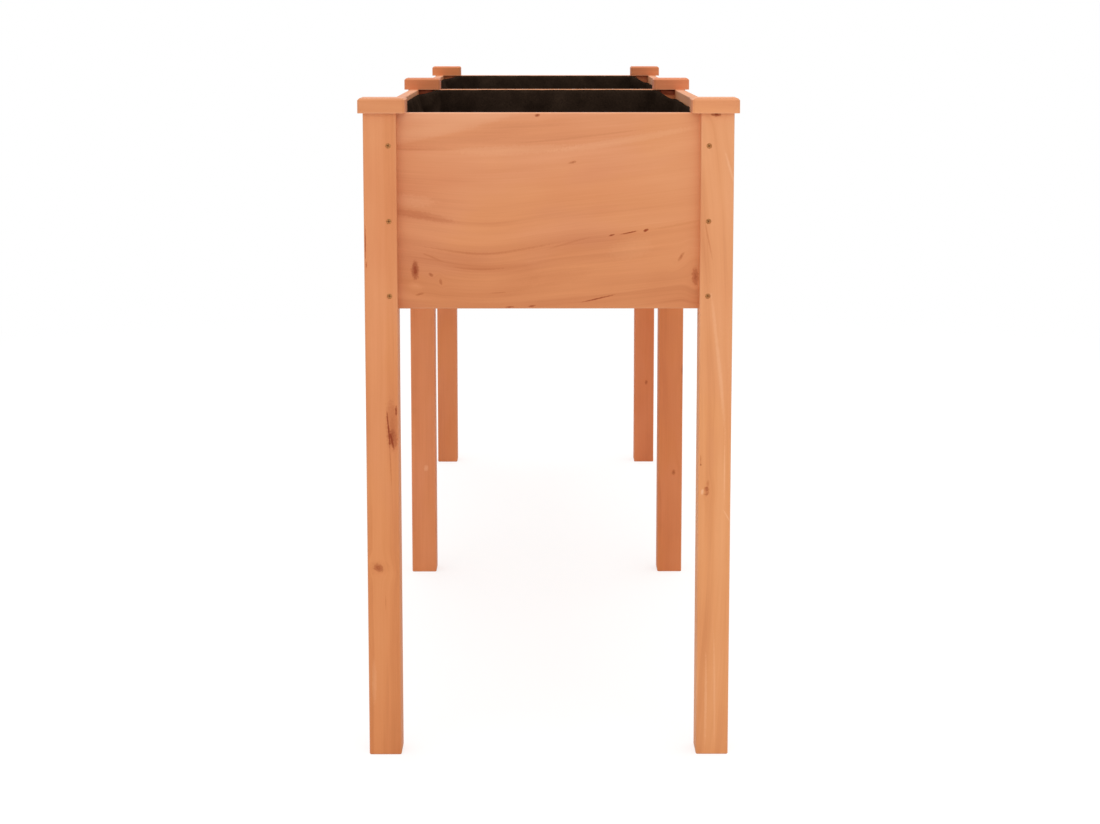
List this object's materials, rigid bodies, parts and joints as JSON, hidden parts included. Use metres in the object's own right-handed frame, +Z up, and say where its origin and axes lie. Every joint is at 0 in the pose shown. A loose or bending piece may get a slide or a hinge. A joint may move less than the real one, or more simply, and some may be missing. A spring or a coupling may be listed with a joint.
{
  "type": "raised planter",
  "caption": "Long raised planter box of stained softwood on tall square legs with post caps, split by a divider into bays with slatted floors and black fabric liners.",
  "frame": {"origin": "on the floor under the middle of the planter", "axes": "+Z up, +Y along the planter from the pictured end to the far end, +X across it to the right as seen from that end"},
  "size_m": [0.385, 1.52, 0.685],
  "materials": {
    "stained_fir": "planed softwood with a honey brown stain, matt",
    "liner_fabric": "black felted fabric",
    "zinc_steel": "dull zinc plated",
    "beech_dowel": "plain turned beech"
  },
  "bodies": {
    "root": {"bearer_screws": "zinc_steel", "cap_dowels": "beech_dowel", "cleat_screws": "zinc_steel", "divider_panel": "stained_fir", "front_floor_slat_1": "stained_fir", "front_floor_slat_2": "stained_fir", "front_floor_slat_3": "stained_fir", "front_floor_slat_4": "stained_fir", "front_floor_slat_5": "stained_fir", "front_floor_slat_6": "stained_fir", "front_floor_slat_7": "stained_fir", "front_left_bearer": "stained_fir", "front_left_cap": "stained_fir", "front_left_front_cleat": "stained_fir", "front_left_leg": "stained_fir", "front_left_rear_cleat": "stained_fir", "front_left_side_board": "stained_fir", "front_leg_screws": "zinc_steel", "front_liner": "liner_fabric", "front_panel": "stained_fir", "front_right_bearer": "stained_fir", "front_right_cap": "stained_fir", "front_right_front_cleat": "stained_fir", "front_right_leg": "stained_fir", "front_right_rear_cleat": "stained_fir", "front_right_side_board": "stained_fir", "middle_left_cap": "stained_fir", "middle_left_leg": "stained_fir", "middle_leg_screws": "zinc_steel", "middle_right_cap": "stained_fir", "middle_right_leg": "stained_fir", "rear_floor_slat_1": "stained_fir", "rear_floor_slat_2": "stained_fir", "rear_floor_slat_3": "stained_fir", "rear_floor_slat_4": "stained_fir", "rear_floor_slat_5": "stained_fir", "rear_floor_slat_6": "stained_fir", "rear_floor_slat_7": "stained_fir", "rear_left_bearer": "stained_fir", "rear_left_cap": "stained_fir", "rear_left_front_cleat": "stained_fir", "rear_left_leg": "stained_fir", "rear_left_rear_cleat": "stained_fir", "rear_left_side_board": "stained_fir", "rear_leg_screws": "zinc_steel", "rear_liner": "liner_fabric", "rear_panel": "stained_fir", "rear_right_bearer": "stained_fir", "rear_right_cap": "stained_fir", "rear_right_front_cleat": "stained_fir", "rear_right_leg": "stained_fir", "rear_right_rear_cleat": "stained_fir", "rear_right_side_board": "stained_fir"}
  },
  "joints": []
}
